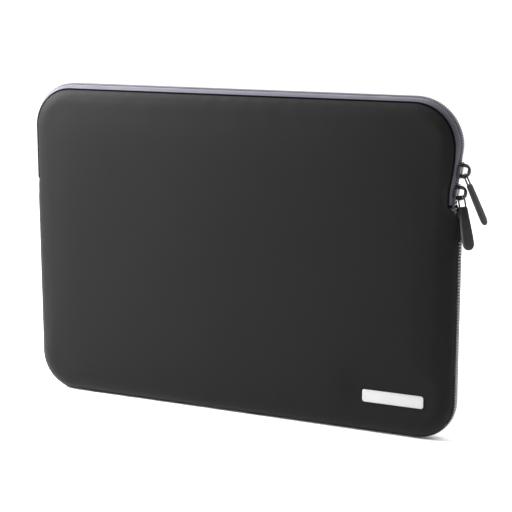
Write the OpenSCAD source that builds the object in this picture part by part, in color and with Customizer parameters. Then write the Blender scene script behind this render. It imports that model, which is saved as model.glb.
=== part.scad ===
// Padded laptop sleeve, standing on its long bottom edge.
// +X is the sleeve's width, -Y its front face, +Z up. The origin is the centre of the flat
// seam band that it stands on. All lengths are millimetres.

/* [Sleeve] */
// Outside width, left to right
sleeve_w = 360; // [320:1:420]
// Outside height, bottom edge to zip
sleeve_h = 255; // [225:1:300]
// Thickness of the filled-out sleeve
sleeve_t = 22; // [21:0.5:26]
// Radius of the two top corners
top_r = 36; // [30:1:44]
// Radius of the two bottom corners
bottom_r = 30; // [24:1:40]
// Radius that the panels' edges are rounded to
edge_r = 13; // [12.5:0.1:13.5]

/* [Layers] */
// Outer fabric with its knit backing
shell_t = 1.2; // [0.8:0.1:1.2]
// Foam core
foam_t = 4.4; // [3:0.1:4.5]
// Plush lining
lining_t = 0.7; // [0.4:0.1:0.8]
// Gap left between neighbouring layers
layer_gap = 0.1; // [0.05:0.05:0.15]

/* [Side seam] */
// Width of the flat overstitched seam band
seam_w = 7; // [5:0.5:8]
// Thickness of the seam band
seam_t = 1.2; // [1:0.1:1.5]

/* [Zip] */
// Height at which the two ends of the zip opening lie
zip_end_z = 164; // [160:1:166]
// Height of the line about which the front panel's top folds out
fold_z = 220; // [219:0.5:222]
// Half of the distance between the two seams that hold the zip tapes
gusset_half = 8; // [7.8:0.1:8.4]
// Angle at which the zip's ends lean in between the panels
end_lean = 8; // [6:0.5:9]
// Thickness of the zip tape
tape_t = 0.6; // [0.4:0.1:0.6]
// Width of one half of the chain
coil_w = 2.25; // [1.8:0.05:2.25]
// Height of the chain above the tape's underside
coil_top = 1; // [0.8:0.1:1]

/* [Sliders and pulls] */
// Distance from the fold line down to the upper slider, along the zip
upper_slider_at = 17.2; // [16.8:0.1:18]
// Distance from the fold line down to the lower slider, along the zip
lower_slider_at = 33.4; // [33:0.1:34]
// Length of a slider's plates
slider_l = 12.4; // [11:0.2:12.6]
// Width of a slider's plates
slider_w = 8.8; // [8.6:0.1:9.4]
// Height of the crown above the chain's middle
crown_top = 8.6; // [8.2:0.1:9]
// Diameter of the pull's wire
wire_d = 1.3; // [1:0.1:1.4]
// Length of the rubber grip
grip_l = 32; // [26:1:34]
// Greatest width of the rubber grip
grip_w = 10.4; // [8:0.1:10.6]
// Thickness of the rubber grip
grip_t = 3.5; // [3:0.1:3.6]
// How far the upper pull hangs out from the vertical
upper_lean = 25; // [24:1:30]
// How far the lower pull hangs out from the vertical
lower_lean = 15; // [15:1:17]
// Turn of the upper pull about its own length
upper_twist = 0; // [-12:1:4]
// Turn of the lower pull about its own length
lower_twist = 30; // [24:1:31]

/* [Badge] */
// Width of the blank metal badge
badge_w = 48; // [40:1:60]
// Height of the badge
badge_h = 9.5; // [9:0.5:14]
// Thickness of the badge
badge_t = 0.8; // [0.6:0.1:1]
// Distance from the sleeve's middle to the badge's middle
badge_x = 134; // [80:1:135]
// Height of the badge's middle
badge_z = 30; // [28:1:60]

/* [Hidden] */
$fn = 96;

half_w = sleeve_w / 2;
// centre of the edge rounding, counted from the outline (u outward, v towards the face)
cv = sleeve_t / 2 - edge_r;
cu = -sqrt(edge_r * edge_r - cv * cv);
shell_i = edge_r - shell_t;
foam_o = shell_i - layer_gap;
foam_i = foam_o - foam_t;
lining_o = foam_i - layer_gap;
lining_i = lining_o - lining_t;
seam_half = seam_w / 2;
// the chain's middle lies this far inside the outline
chain_in = coil_top;
coil_gap = 0.85;
// inner layers stop this far inside the outline along the zip
inner_stop = -10;
fold_gap = 0.15;
big = 500;

// ---- profiles: u outward from the outline, v from the middle plane towards the face ----
module layer_profile(ro, ri, v_min, u_max) {
    intersection() {
        translate([cu, cv]) difference() { circle(ro); circle(ri); }
        translate([cu - 0.01, v_min]) square([u_max - cu + 0.01, 40]);
    }
}

// ---- paths round the outline ----
// a straight run up the right side
module side_run(z0, z1) {
    translate([half_w, 0, z0]) mirror([0, 1, 0]) linear_extrude(z1 - z0) children();
}
module both_sides(z0, z1) {
    side_run(z0, z1) children();
    mirror([1, 0, 0]) side_run(z0, z1) children();
}
module corner(cx, cz, r, from, sweep) {
    translate([cx, 0, cz]) rotate([90, 0, 0]) rotate([0, 0, from])
        rotate_extrude(angle = sweep) translate([r, 0]) children();
}
module top_corners() {
    corner(half_w - top_r, sleeve_h - top_r, top_r, 0, 90) children();
    corner(-half_w + top_r, sleeve_h - top_r, top_r, 90, 90) children();
}
module bottom_corners() {
    corner(half_w - bottom_r, bottom_r, bottom_r, 270, 90) children();
    corner(-half_w + bottom_r, bottom_r, bottom_r, 180, 90) children();
}
module top_run() {
    translate([-half_w + top_r, 0, sleeve_h]) rotate([90, 0, 90])
        linear_extrude(sleeve_w - 2 * top_r) rotate(90) children();
}
module bottom_run() {
    mirror([0, 0, 1]) translate([-half_w + bottom_r, 0, 0]) rotate([90, 0, 90])
        linear_extrude(sleeve_w - 2 * bottom_r) rotate(90) children();
}

// the flat part of a panel, from v0 to v1
module plate_outline() {
    x = half_w + cu;
    rt = top_r + cu;
    rb = bottom_r + cu;
    z0 = -cu;
    z1 = sleeve_h + cu;
    translate([-x, z0 + rb]) square([2 * x, z1 - z0 - rt - rb]);
    translate([-x + rb, z0]) square([2 * (x - rb), rb + 1]);
    translate([-x + rt, z1 - rt - 1]) square([2 * (x - rt), rt + 1]);
    for (s = [-1, 1]) {
        translate([s * (x - rb), z0 + rb]) circle(rb);
        translate([s * (x - rt), z1 - rt]) circle(rt);
    }
}
module plate(v0, v1) {
    translate([0, -v0, 0]) rotate([90, 0, 0]) linear_extrude(v1 - v0) plate_outline();
}
module between(z0, z1) {
    intersection() {
        children();
        translate([-big, -big, z0]) cube([2 * big, 2 * big, z1 - z0]);
    }
}

// One layer of the front half, between two heights. Below the zip its edge wraps round to the
// side seam; along the zip it stops at the seam that holds the tape.
module layer(ro, ri, v_low, v_zip, u_zip, z0, z1) {
    between(z0, z1) union() {
        plate(cv + ri, cv + ro);
        if (z0 < zip_end_z) {
            bottom_run() layer_profile(ro, ri, v_low, 2);
            bottom_corners() layer_profile(ro, ri, v_low, 2);
            both_sides(bottom_r, zip_end_z) layer_profile(ro, ri, v_low, 2);
        }
        both_sides(zip_end_z, sleeve_h - top_r) layer_profile(ro, ri, v_zip, u_zip);
        if (z1 > sleeve_h - top_r) {
            top_corners() layer_profile(ro, ri, v_zip, u_zip);
            top_run() layer_profile(ro, ri, v_zip, u_zip);
        }
    }
}
module shell(z0, z1) layer(edge_r, shell_i, seam_half + 0.1, gusset_half, 2, z0, z1);
module foam(z0, z1) layer(foam_o, foam_i, 0.1, 0.1, inner_stop, z0, z1);
module lining(z0, z1) layer(lining_o, lining_i, 0.1, 0.1, inner_stop, z0, z1);

// ---- zip: profile in (n outward from the chain's middle, v towards the face) ----
module tape_profile_arched() {
    n = coil_top - 2.0;
    polygon([[n, coil_gap], [n, 4.7], [n - 1.2, 6.7], [n - 4.1, 7.25], [n - 4.1, gusset_half - 0.15],
             [n - 1.0 + tape_t * 0.4, 7.35], [n + tape_t, 4.95], [n + tape_t, coil_gap]]);
}
module tape_profile_flat() {
    n = coil_top - 2.0;
    translate([n, coil_gap]) square([tape_t, gusset_half - 0.4 - coil_gap]);
}
module coil_profile() {
    translate([-0.38, coil_gap]) square([coil_top + 0.38, coil_w]);
}
// the part of the zip above the fold line
module zip_above() {
    both_sides(fold_z + fold_gap, fold_z + fold_gap + 0.01) translate([-chain_in, 0]) children();
    between(fold_z + fold_gap, sleeve_h + 1) top_corners() translate([-chain_in, 0]) children();
    top_run() translate([-chain_in, 0]) children();
}
// the right end of the zip below the fold line, leaning in
module zip_end(l0, l1) {
    translate([half_w - chain_in, 0, fold_z]) rotate([0, end_lean, 0]) translate([0, 0, -l1])
        mirror([0, 1, 0]) linear_extrude(l1 - l0) children();
}
module zip_ends(l0, l1) {
    zip_end(l0, l1) children();
    mirror([1, 0, 0]) zip_end(l0, l1) children();
}
chain_l = 44.5;

module front_panel_lower() {
    color("#232323") difference() {
        shell(0, fold_z - fold_gap);
        for (s = [-1, 1])
            translate([badge_x + s * 18 - 1.3, -sleeve_t / 2 - 1, badge_z - 0.4]) cube([2.6, 3, 0.8]);
    }
}
module front_panel_flap() {
    color("#262626") shell(fold_z + fold_gap, sleeve_h);
}
module front_foam_lower() {
    color("#9a9a94") difference() {
        foam(0, fold_z - fold_gap);
        translate([badge_x - badge_w / 2 + 2, -(cv + foam_o) - 0.1, badge_z - 4]) cube([badge_w - 4, 1.9, 8]);
    }
}
module front_foam_flap() { color("#9a9a94") foam(fold_z + fold_gap, sleeve_h); }
module front_lining_lower() { color("#4a4a4e") lining(0, fold_z - fold_gap); }
module front_lining_flap() { color("#4a4a4e") lining(fold_z + fold_gap, sleeve_h); }
module back_panel() { color("#232323") mirror([0, 1, 0]) shell(0, sleeve_h); }
module back_foam() { color("#9a9a94") mirror([0, 1, 0]) foam(0, sleeve_h); }
module back_lining() { color("#4a4a4e") mirror([0, 1, 0]) lining(0, sleeve_h); }

// the flat overstitched band that joins front and back below the zip; the sleeve stands on it
module side_seam() {
    color("#3a3a3c") union() {
        bottom_run() translate([-seam_t, -seam_half]) square([seam_t, seam_w]);
        bottom_corners() translate([-seam_t, -seam_half]) square([seam_t, seam_w]);
        both_sides(bottom_r, zip_end_z) translate([-seam_t, -seam_half]) square([seam_t, seam_w]);
    }
}

module zip_tape_front_lower() { color("#6d6b78") zip_ends(0.5, chain_l) tape_profile_flat(); }
module zip_tape_front_flap() { color("#6d6b78") zip_above() tape_profile_arched(); }
module zip_tape_back() {
    color("#6d6b78") mirror([0, 1, 0]) {
        zip_above() tape_profile_arched();
        zip_ends(-0.6, chain_l) tape_profile_flat();
    }
}
module zip_coil_front_lower() { color("#4d4b56") zip_ends(0.5, chain_l) coil_profile(); }
module zip_coil_front_flap() { color("#4d4b56") zip_above() coil_profile(); }
module zip_coil_back() {
    color("#4d4b56") mirror([0, 1, 0]) {
        zip_above() coil_profile();
        zip_ends(-0.6, chain_l) coil_profile();
    }
}
// bias binding over the raw edges inside, along the zip seam
module binding_profile() { translate([-9.4, 6.3]) square([2.4, gusset_half - 0.3 - 6.3]); }
module binding(z0) {
    between(z0, sleeve_h) top_corners() binding_profile();
    top_run() binding_profile();
}
module binding_front_flap() { color("#2a2a2e") binding(fold_z + fold_gap); }
module binding_back() { color("#2a2a2e") mirror([0, 1, 0]) binding(fold_z + fold_gap); }

// folded fabric tabs that close off the two ends of the chain
module zip_end_tabs() {
    color("#1f1f22") zip_ends(chain_l + 0.3, chain_l + 11.2) translate([-1.4, -7.2]) square([2.6, 14.4]);
}
// stops clamped over the chain below the sliders
module zip_end_stops() {
    color("#2b2b2f") zip_ends(chain_l - 3.2, chain_l - 1.4)
        translate([coil_top + 0.05, -3.2]) square([0.9, 6.4]);
}
// thread bars sewn across the tabs
module bar_tacks() {
    color("#8f8f93") zip_ends(chain_l + 1.2, chain_l + 2.6)
        translate([1.25, -6.8]) square([0.4, 13.6]);
}

// ---- slider: local z along the zip (head towards +z if head = 1), x outward, y across ----
module plate_2d(l, w, r) {
    square([w - 2 * r, l], center = true);
    square([w, l - 2 * r], center = true);
    for (a = [-1, 1], b = [-1, 1]) translate([a * (w / 2 - r), b * (l / 2 - r)]) circle(r, $fn = 32);
}
// a plate lying in the y-z plane from x0 to x1
module slider_plate(x0, x1) {
    translate([x0, 0, 0]) rotate([90, 0, 90]) linear_extrude(x1 - x0) plate_2d(slider_l, slider_w, 2.4);
}
crown_r = 5.1;
crown_t = 2.4;
hole_r = 1.2;
hole_z = 3.2;
hole_x0 = 2.6;
hole_x1 = crown_top - 1.6;
module crown_2d() {
    difference() {
        union() {
            translate([crown_top - crown_r, 0]) circle(crown_r);
            translate([1.6, -crown_r]) square([crown_top - crown_r - 1.6, 2 * crown_r]);
        }
        translate([-10, -10]) square([11.6, 20]);
        // the round-cornered eye
        translate([(hole_x0 + hole_x1) / 2, 0]) {
            plate_2d(2 * hole_z, hole_x1 - hole_x0, hole_r);
        }
    }
}
module slider(head) {
    union() {
        slider_plate(1.3, 2.3);
        slider_plate(-2.2, -1.3);
        // neck between the two lanes, at the head
        translate([-1.4, -0.6, head > 0 ? 2.8 : -5.6]) cube([2.8, 1.2, 2.8]);
        // side flanges
        for (s = [-1, 1])
            translate([-0.1, s > 0 ? 3.4 : -slider_w / 2, head > 0 ? -3.8 : -3.4])
                cube([1.5, slider_w / 2 - 3.4, 7.2]);
        // crown
        translate([0, crown_t / 2, 0]) rotate([90, 0, 0]) linear_extrude(crown_t) crown_2d();
    }
}
module at_slider(l) {
    translate([half_w - chain_in, 0, fold_z]) rotate([0, end_lean, 0]) translate([0, 0, -l]) children();
}
module slider_upper_body() { color("#1b1b1c") at_slider(upper_slider_at) slider(-1); }
module slider_lower_body() { color("#1b1b1c") at_slider(lower_slider_at) slider(1); }

// ---- pull: local origin at the middle of the pin in the crown's eye, pin along y, hanging along -z ----
pin_n = 4.8;
pin_t = -2.2;
leg_y = 3;
leg_l = 9.8;
grip_at = 7.4;
grip_top_w = 7.8;
module link() {
    r = wire_d / 2;
    rotate([90, 0, 0]) cylinder(r = r, h = 2 * leg_y, center = true, $fn = 32);
    for (s = [-1, 1]) {
        translate([0, s * leg_y, 0]) sphere(r, $fn = 32);
        translate([0, s * leg_y, -leg_l]) cylinder(r = r, h = leg_l, $fn = 32);
        translate([0, s * leg_y, -leg_l]) sphere(r, $fn = 32);
    }
    translate([0, 0, -leg_l]) rotate([90, 0, 0]) cylinder(r = r, h = 2 * leg_y, center = true, $fn = 32);
}
// tapered grip with a round wide end and softly rounded faces
module grip_2d() {
    hull() {
        translate([0, -grip_l + grip_w / 2]) circle(grip_w / 2, $fn = 64);
        translate([-grip_top_w / 2 + 0.8, -1]) circle(0.8, $fn = 24);
        translate([grip_top_w / 2 - 0.8, -1]) circle(0.8, $fn = 24);
    }
}
module grip() {
    translate([0, 0, -grip_at]) hull() {
        rotate([90, 0, 90]) translate([0, 0, -grip_t / 2 + 0.9]) linear_extrude(grip_t - 1.8) grip_2d();
        rotate([90, 0, 90]) translate([0, 0, -grip_t / 2]) linear_extrude(grip_t) offset(delta = -0.9) grip_2d();
    }
}
// the pin's place: along the leaning zip, then outward; the pull then leans and turns
module at_pull(l, lean, twist) {
    translate([half_w - chain_in, 0, fold_z]) rotate([0, end_lean, 0]) translate([pin_n, 0, -l + pin_t])
        rotate([0, -end_lean, 0]) rotate([0, 0, -twist]) rotate([0, -lean, 0]) children();
}
module pull_upper_link() { color("#202022") at_pull(upper_slider_at, upper_lean, upper_twist) link(); }
module pull_upper_grip() { color("#333335") at_pull(upper_slider_at, upper_lean, upper_twist) grip(); }
module pull_lower_link() { color("#202022") at_pull(lower_slider_at, lower_lean, lower_twist) link(); }
module pull_lower_grip() { color("#333335") at_pull(lower_slider_at, lower_lean, lower_twist) grip(); }

// ---- badge: a blank plate held by two prongs through the shell and a thin backing plate ----
module badge_plate() {
    color("#e6e6e8") union() {
        translate([badge_x, -sleeve_t / 2 - 0.05, badge_z]) rotate([90, 0, 0])
            linear_extrude(badge_t) plate_2d(badge_h, badge_w, 1.6);
        for (s = [-1, 1])
            translate([badge_x + s * 18 - 1, -sleeve_t / 2 - 0.1, badge_z - 0.25]) cube([2, 2.7, 0.5]);
    }
}
module badge_backing() {
    color("#b5b5b8") difference() {
        translate([badge_x - 21, -(cv + foam_o) + 0.25, badge_z - 3.2]) cube([42, 0.6, 6.4]);
        for (s = [-1, 1])
            translate([badge_x + s * 18 - 1.2, -sleeve_t / 2, badge_z - 0.4]) cube([2.4, 4, 0.8]);
    }
}

front_panel_lower();
front_panel_flap();
front_foam_lower();
front_foam_flap();
front_lining_lower();
front_lining_flap();
back_panel();
back_foam();
back_lining();
side_seam();
zip_tape_front_lower();
zip_tape_front_flap();
zip_tape_back();
zip_coil_front_lower();
zip_coil_front_flap();
zip_coil_back();
binding_front_flap();
binding_back();
zip_end_tabs();
zip_end_stops();
bar_tacks();
slider_upper_body();
slider_lower_body();
pull_upper_link();
pull_upper_grip();
pull_lower_link();
pull_lower_grip();
badge_plate();
badge_backing();
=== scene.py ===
import math

import bmesh
import bpy
import numpy as np
from mathutils import Matrix, Vector
from mathutils.geometry import delaunay_2d_cdt


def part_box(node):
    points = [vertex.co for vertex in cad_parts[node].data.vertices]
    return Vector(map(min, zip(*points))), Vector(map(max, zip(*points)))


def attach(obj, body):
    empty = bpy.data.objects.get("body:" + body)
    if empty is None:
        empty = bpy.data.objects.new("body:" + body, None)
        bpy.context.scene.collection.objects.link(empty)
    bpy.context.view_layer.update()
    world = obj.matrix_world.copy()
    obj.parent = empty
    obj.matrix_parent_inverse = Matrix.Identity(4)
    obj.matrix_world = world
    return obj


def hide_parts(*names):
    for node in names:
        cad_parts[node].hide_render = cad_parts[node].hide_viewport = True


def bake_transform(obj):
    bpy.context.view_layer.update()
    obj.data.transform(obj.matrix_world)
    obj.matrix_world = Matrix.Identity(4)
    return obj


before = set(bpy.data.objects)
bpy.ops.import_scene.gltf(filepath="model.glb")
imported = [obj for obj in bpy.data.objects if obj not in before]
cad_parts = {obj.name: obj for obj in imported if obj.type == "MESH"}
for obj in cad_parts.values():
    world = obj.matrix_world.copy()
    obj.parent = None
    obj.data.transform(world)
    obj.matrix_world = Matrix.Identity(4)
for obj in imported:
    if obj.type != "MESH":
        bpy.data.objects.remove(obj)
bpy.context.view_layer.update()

# ---------------------------------------------------------------- frame, in millimetres
MM = 0.001


def box(node):
    lo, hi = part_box(node)
    return np.array(lo) * 1000, np.array(hi) * 1000


HW = box("side_seam")[1][0]          # half of the sleeve's width
H = box("zip_coil_back")[1][2]       # height
T2 = box("back_panel")[1][1]         # half of the thickness
ZIP_END = box("side_seam")[1][2]     # where the zip's opening ends
FOLD = box("front_panel_flap")[0][2] - 0.15
RT, RB = 36.0, 30.0
ER = 13.0
CV = T2 - ER
CU = -math.sqrt(ER * ER - CV * CV)
SHELL_T, FOAM_T, LINING_T, GAP = 1.2, 4.4, 0.7, 0.1
GUSSET, SEAM = 8.0, 3.6
LEAN = math.radians(8)
CHAIN_L = 44.5


def smooth(t):
    t = np.clip(t, 0, 1)
    return t * t * (3 - 2 * t)


# the rounded outline, from the middle of the bottom edge, anticlockwise seen from the front
SEGS = [
    ("line", (0, 0), (HW - RB, 0)),
    ("arc", (HW - RB, RB), RB, -90),
    ("line", (HW, RB), (HW, H - RT)),
    ("arc", (HW - RT, H - RT), RT, 0),
    ("line", (HW - RT, H), (-HW + RT, H)),
    ("arc", (-HW + RT, H - RT), RT, 90),
    ("line", (-HW, H - RT), (-HW, RB)),
    ("arc", (-HW + RB, RB), RB, 180),
    ("line", (-HW + RB, 0), (0, 0)),
]


def seg_len(g):
    if g[0] == "line":
        return math.dist(g[1], g[2])
    return g[2] * math.pi / 2


LENS = [seg_len(g) for g in SEGS]
PERIM = sum(LENS)


def outline(s):
    """Points and outward normals (x, z) at lengths s along the outline."""
    s = np.mod(np.atleast_1d(np.asarray(s, float)), PERIM)
    p = np.zeros((len(s), 2))
    n = np.zeros((len(s), 2))
    at = 0.0
    for g, length in zip(SEGS, LENS):
        m = (s >= at - 1e-9) & (s <= at + length + 1e-9)
        t = (s[m] - at) / length
        if g[0] == "line":
            a, b = np.array(g[1], float), np.array(g[2], float)
            d = (b - a) / length
            p[m] = a + np.outer(t, b - a)
            n[m] = (d[1], -d[0])
        else:
            ang = np.radians(g[3] + 90 * t)
            n[m] = np.stack([np.cos(ang), np.sin(ang)], 1)
            p[m] = np.array(g[1], float) + g[2] * n[m]
        at += length
    return p, n


S_RIGHT_ZIP = LENS[0] + LENS[1] + (ZIP_END - RB)   # where the seam band ends, right
S_LEFT_ZIP = PERIM - S_RIGHT_ZIP


# the middle of the zip's chain: from the left lower end, over the top, to the right lower end
def chain_right():
    top = np.stack([np.arange(0, HW - RT, 0.25), np.full(int(math.ceil((HW - RT) / 0.25)), H - 1.0)], 1)
    r = RT - 1.0
    a = np.radians(np.arange(90, -0.01, -0.4))
    arc = np.stack([HW - RT + r * np.cos(a), H - RT + r * np.sin(a)], 1)
    k = np.arange(0.25, CHAIN_L + 0.01, 0.25)
    low = np.stack([HW - 1 - k * math.sin(LEAN), FOLD - k * math.cos(LEAN)], 1)
    arc = arc[arc[:, 1] > FOLD + 0.2]
    pts = np.concatenate([top, arc, [[HW - 1.0, FOLD]], low])
    d = np.concatenate([[0], np.cumsum(np.linalg.norm(np.diff(pts, axis=0), axis=1))])
    s = np.arange(0, d[-1], 0.25)
    pts = np.stack([np.interp(s, d, pts[:, 0]), np.interp(s, d, pts[:, 1])], 1)
    full = np.concatenate([pts[:0:-1] * [-1, 1], pts])
    w = np.exp(-0.5 * (np.arange(-24, 25) / 10.0) ** 2)
    w /= w.sum()
    ext = np.concatenate([2 * full[0] - full[24:0:-1], full, 2 * full[-1] - full[-2:-26:-1]])
    full = np.stack([np.convolve(ext[:, i], w, "valid") for i in range(2)], 1)
    return full


CH = chain_right()
CH_S = np.concatenate([[0], np.cumsum(np.linalg.norm(np.diff(CH, axis=0), axis=1))])
CH_S -= CH_S[-1] / 2
CH_L = CH_S[-1]
CH_T = np.gradient(CH, CH_S, axis=0)
CH_T /= np.linalg.norm(CH_T, axis=1)[:, None]


def chain(s):
    p = np.stack([np.interp(s, CH_S, CH[:, i]) for i in range(2)], 1)
    t = np.stack([np.interp(s, CH_S, CH_T[:, i]) for i in range(2)], 1)
    t /= np.linalg.norm(t, axis=1)[:, None]
    n = np.stack([-t[:, 1], t[:, 0]], 1)
    return p, n, t


# ---------------------------------------------------------------- mesh helpers
def new_mesh(name, verts_mm, faces, smooth_shade=True, attr=None):
    me = bpy.data.meshes.new(name)
    me.from_pydata([tuple(v) for v in (np.asarray(verts_mm, float) * MM)], [], [tuple(int(i) for i in f) for f in faces])
    me.update()
    for key, val in (attr or {}).items():
        val = np.asarray(val, np.float32)
        if val.ndim == 1:
            a = me.attributes.new(key, "FLOAT", "POINT")
            a.data.foreach_set("value", val)
        else:
            a = me.attributes.new(key, "FLOAT_VECTOR", "POINT")
            a.data.foreach_set("vector", val.ravel())
    if smooth_shade:
        me.polygons.foreach_set("use_smooth", [True] * len(me.polygons))
    ob = bpy.data.objects.new(name, me)
    bpy.context.scene.collection.objects.link(ob)
    return ob


def bake_modifiers(ob):
    dg = bpy.context.evaluated_depsgraph_get()
    dg.update()
    me = bpy.data.meshes.new_from_object(ob.evaluated_get(dg), preserve_all_data_layers=True, depsgraph=dg)
    old = ob.data
    ob.modifiers.clear()
    ob.data = me
    me.name = ob.name
    bpy.data.meshes.remove(old)
    me.polygons.foreach_set("use_smooth", [True] * len(me.polygons))
    return ob


def outward(ob):
    bm = bmesh.new()
    bm.from_mesh(ob.data)
    bmesh.ops.recalc_face_normals(bm, faces=bm.faces)
    bm.to_mesh(ob.data)
    bm.free()
    return ob


class Build:
    """Collects parts of one piece: points in millimetres, faces, and two numbers along and across it."""

    def __init__(self):
        self.v, self.f, self.m, self.uv, self.n = [], [], [], [], 0

    def add(self, v, f, uv=None, mat=0):
        v = np.asarray(v, float)
        self.v.append(v)
        self.f += [tuple(i + self.n for i in q) for q in f]
        self.m += [mat] * len(f)
        self.uv.append(np.zeros((len(v), 3)) if uv is None else np.asarray(uv, float))
        self.n += len(v)

    def make(self, name):
        ob = new_mesh(name, np.concatenate(self.v), self.f, attr={"along": np.concatenate(self.uv) * MM})
        ob.data.polygons.foreach_set("material_index", self.m)
        return outward(ob)


def tube_rings(rings, closed_path=False, caps=True):
    """Faces over a list of rings of equal length (k x n x 3)."""
    rings = np.asarray(rings, float)
    k, n = rings.shape[:2]
    f = []
    for i in range(k if closed_path else k - 1):
        a, b = i * n, ((i + 1) % k) * n
        for j in range(n):
            f.append((a + j, a + (j + 1) % n, b + (j + 1) % n, b + j))
    v = rings.reshape(-1, 3)
    if caps and not closed_path:
        f.append(tuple(range(n))[::-1])
        f.append(tuple((k - 1) * n + j for j in range(n)))
    return v, f


def tube(path, r, sides=8, up=(0, 1, 0), closed=False, squash=1.0):
    """A round or oval tube along points; up keeps its frames steady."""
    path = np.asarray(path, float)
    if closed:
        t = np.roll(path, -1, 0) - np.roll(path, 1, 0)
    else:
        t = np.gradient(path, axis=0)
    t /= np.linalg.norm(t, axis=1)[:, None]
    u = np.asarray(up, float)
    if u.ndim == 1:
        u = np.repeat(u[None], len(path), 0)
    a = np.cross(u, t)
    bad = np.linalg.norm(a, axis=1) < 1e-5
    if bad.any():
        a[bad] = np.cross(np.array([1.0, 0.3, 0.2]), t[bad])
    a /= np.linalg.norm(a, axis=1)[:, None]
    b = np.cross(t, a)
    ang = np.linspace(0, 2 * math.pi, sides, endpoint=False)
    r = np.broadcast_to(np.asarray(r, float), (len(path),))
    sq = np.broadcast_to(np.asarray(squash, float), (len(path),))[:, None, None]
    rings = path[:, None] + r[:, None, None] * (np.cos(ang)[None, :, None] * a[:, None] + sq * np.sin(ang)[None, :, None] * b[:, None])
    return tube_rings(rings, closed)


# ---------------------------------------------------------------- panels
STEP = 3.4
N_AROUND = int(round(PERIM / STEP))
S_AROUND = np.arange(N_AROUND) * PERIM / N_AROUND
OP, ON = outline(S_AROUND)
KZIP = smooth((OP[:, 1] - (ZIP_END + 2)) / 13.0)
# at the sliders' end the lips stand further apart, so that the tape lies open beside the chain
WIDE = 2.0 * smooth((FOLD - 6 - OP[:, 1]) / 30.0) * (OP[:, 0] > 0)
ROWS = 8


def inside_points():
    """The flat field inside the second ring, as a regular grid."""
    g = 6.0
    inset = -(CU - 3.2)
    xs = np.arange(-HW + inset, HW - inset + 0.1, g)
    xs = np.linspace(xs[0], HW - inset, len(xs))
    zs = np.arange(inset, H - inset + 0.1, g)
    zs = np.linspace(zs[0], H - inset, len(zs))
    out = []
    for z in zs:
        for x in xs:
            # distance inside the outline
            ax = abs(x)
            r = RB if z < H / 2 else RT
            cz = RB if z < H / 2 else H - RT
            dx, dz = ax - (HW - r), (cz - z if z < H / 2 else z - cz)
            if dx > 0 and dz > 0:
                d = r - math.hypot(dx, dz)
            else:
                d = min(HW - ax, z, H - z)
            if d > inset + 2.6:
                out.append((x, z))
    return out


INSIDE = inside_points()


def plate_faces():
    """Triangles of the flat field, with the second ring as its border."""
    ring = OP + ON * (CU - 3.2)
    pts = [Vector(p) for p in ring] + [Vector(p) for p in INSIDE]
    n = len(ring)
    edges = [(i, (i + 1) % n) for i in range(n)]
    v, e, f, ov, oe, of = delaunay_2d_cdt(pts, edges, [], 1, 1e-6)
    back = [o[0] for o in ov]
    return [tuple(back[i] for i in t) for t in f]


PLATE_TRIS = plate_faces()


def layer_mesh(name, prof, radius, side, disp=None, scale=1.0):
    """An open sheet: rows round the rolled edge (prof gives u, v for row share t and zip share k), then the flat field.
    disp moves the points (same order), times scale."""
    rows = []
    for j in range(ROWS):
        u, v = prof(j / (ROWS - 1), KZIP)
        p = OP + ON * u[:, None]
        rows.append(np.stack([p[:, 0], -side * v, p[:, 1]], 1))
    p = OP + ON * (CU - 3.2)
    y = -side * (CV + radius)
    rows.append(np.stack([p[:, 0], np.full(len(p), y), p[:, 1]], 1))
    inner = np.array([(x, y, z) for x, z in INSIDE])
    v = np.concatenate(rows + [inner])
    n = N_AROUND
    f = []
    for j in range(ROWS):
        for i in range(n):
            q = (j * n + i, j * n + (i + 1) % n, (j + 1) * n + (i + 1) % n, (j + 1) * n + i)
            f.append(q)
    off = ROWS * n
    f += [tuple(off + i for i in t) for t in PLATE_TRIS]
    if disp is not None:
        v = v + disp * scale
    edge = np.concatenate([np.full(n, 1 - j / ROWS) for j in range(ROWS + 1)] + [np.zeros(len(inner))])
    ob = new_mesh(name, v, f, attr={"edge": edge})
    bm = bmesh.new()
    bm.from_mesh(ob.data)
    bmesh.ops.recalc_face_normals(bm, faces=bm.faces)
    c = max(bm.faces, key=lambda q: q.calc_area())
    if c.normal.y * side > 0:
        bmesh.ops.reverse_faces(bm, faces=bm.faces)
    bm.to_mesh(ob.data)
    bm.free()
    return ob


def arc_profile(radius, v_zip, v_seam, widen=0.0):
    def prof(t, k):
        ve = v_seam + (v_zip + widen * WIDE - v_seam) * k
        fe = np.arcsin(np.clip((ve - CV) / radius, -1, 1))
        ang = fe + (math.pi / 2 - fe) * t
        return CU + radius * np.cos(ang), CV + radius * np.sin(ang)
    return prof


def limited_profile(radius, v_seam, u_zip):
    """Below the zip the layer wraps round to the seam; along the zip it stops at u_zip, flat."""
    seam = arc_profile(radius, v_seam, v_seam)

    def prof(t, k):
        u0, v0 = seam(t, k)
        uz = u_zip + (CU - u_zip) * t
        vz = CV + np.sqrt(radius ** 2 - (uz - CU) ** 2)
        return u0 + (uz - u0) * k, v0 + (vz - v0) * k
    return prof


def lining_profile(radius, v_seam):
    """Along the zip the lining turns out over the foam's edge to the binding."""
    seam = arc_profile(radius, v_seam, v_seam)
    uz_k = np.array([-9.72, -9.66, -9.70, -9.98, -10.6, -11.3, -12.1, CU])
    vz_k = np.array([7.5, 6.7, 5.95, 5.25, 4.85, 4.62, 4.52, CV + radius])

    def prof(t, k):
        u0, v0 = seam(t, k)
        uz = np.interp(t * 7, np.arange(8), uz_k)
        vz = np.interp(t * 7, np.arange(8), vz_k)
        return u0 + (uz - u0) * k, v0 + (vz - v0) * k
    return prof


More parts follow.
